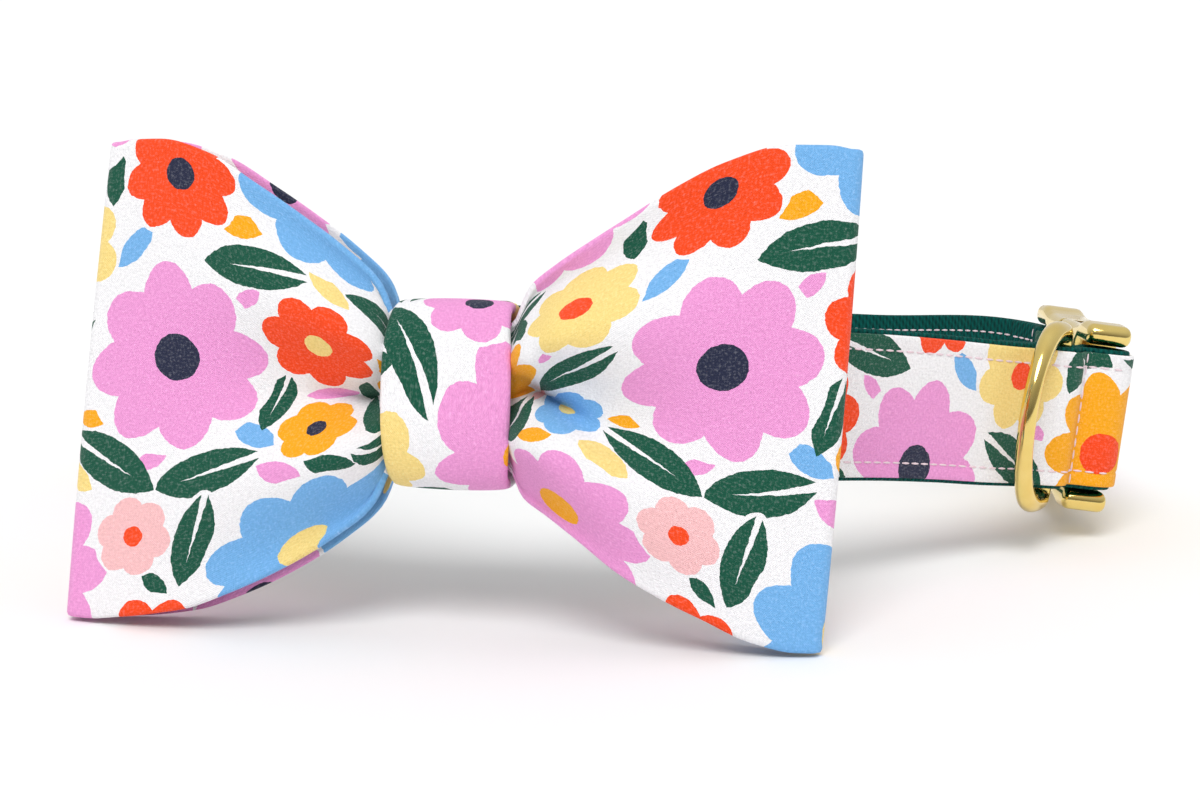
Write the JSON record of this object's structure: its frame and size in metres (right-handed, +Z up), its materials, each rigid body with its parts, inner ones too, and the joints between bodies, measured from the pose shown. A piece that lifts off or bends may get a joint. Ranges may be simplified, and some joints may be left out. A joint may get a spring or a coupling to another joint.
{
  "type": "pet bow tie collar",
  "caption": "Pet collar of printed cotton on green webbing, with a gathered bow tie on the front, a side-release metal buckle and a swinging leash ring.",
  "frame": {"origin": "on the floor under the middle of the collar's box", "axes": "+X to the right of the bow seen from the front, +Y from the bow to the back of the loop, +Z up"},
  "size_m": [0.192, 0.1952, 0.0763],
  "materials": {
    "printed_cotton": "matt printed cotton",
    "green_webbing": "woven nylon",
    "dark_elastic": "woven elastic",
    "gold_metal": "polished"
  },
  "bodies": {
    "collar": {"bow_band": "printed_cotton", "bow_knot": "printed_cotton", "bow_elastic": "dark_elastic", "strap_webbing": "green_webbing", "strap_fabric": "printed_cotton", "buckle_socket": "gold_metal", "buckle_plug": "gold_metal"},
    "leash_ring": {"d_ring": "gold_metal"}
  },
  "joints": [
    {"name": "d_ring_swing", "type": "hinge", "parent": "collar", "child": "leash_ring", "pos_m": [0.08157, -0.01412, 0.02371], "axis": [0.1111, 0.0841, 0.9902], "range_deg": [-5, 115]}
  ]
}
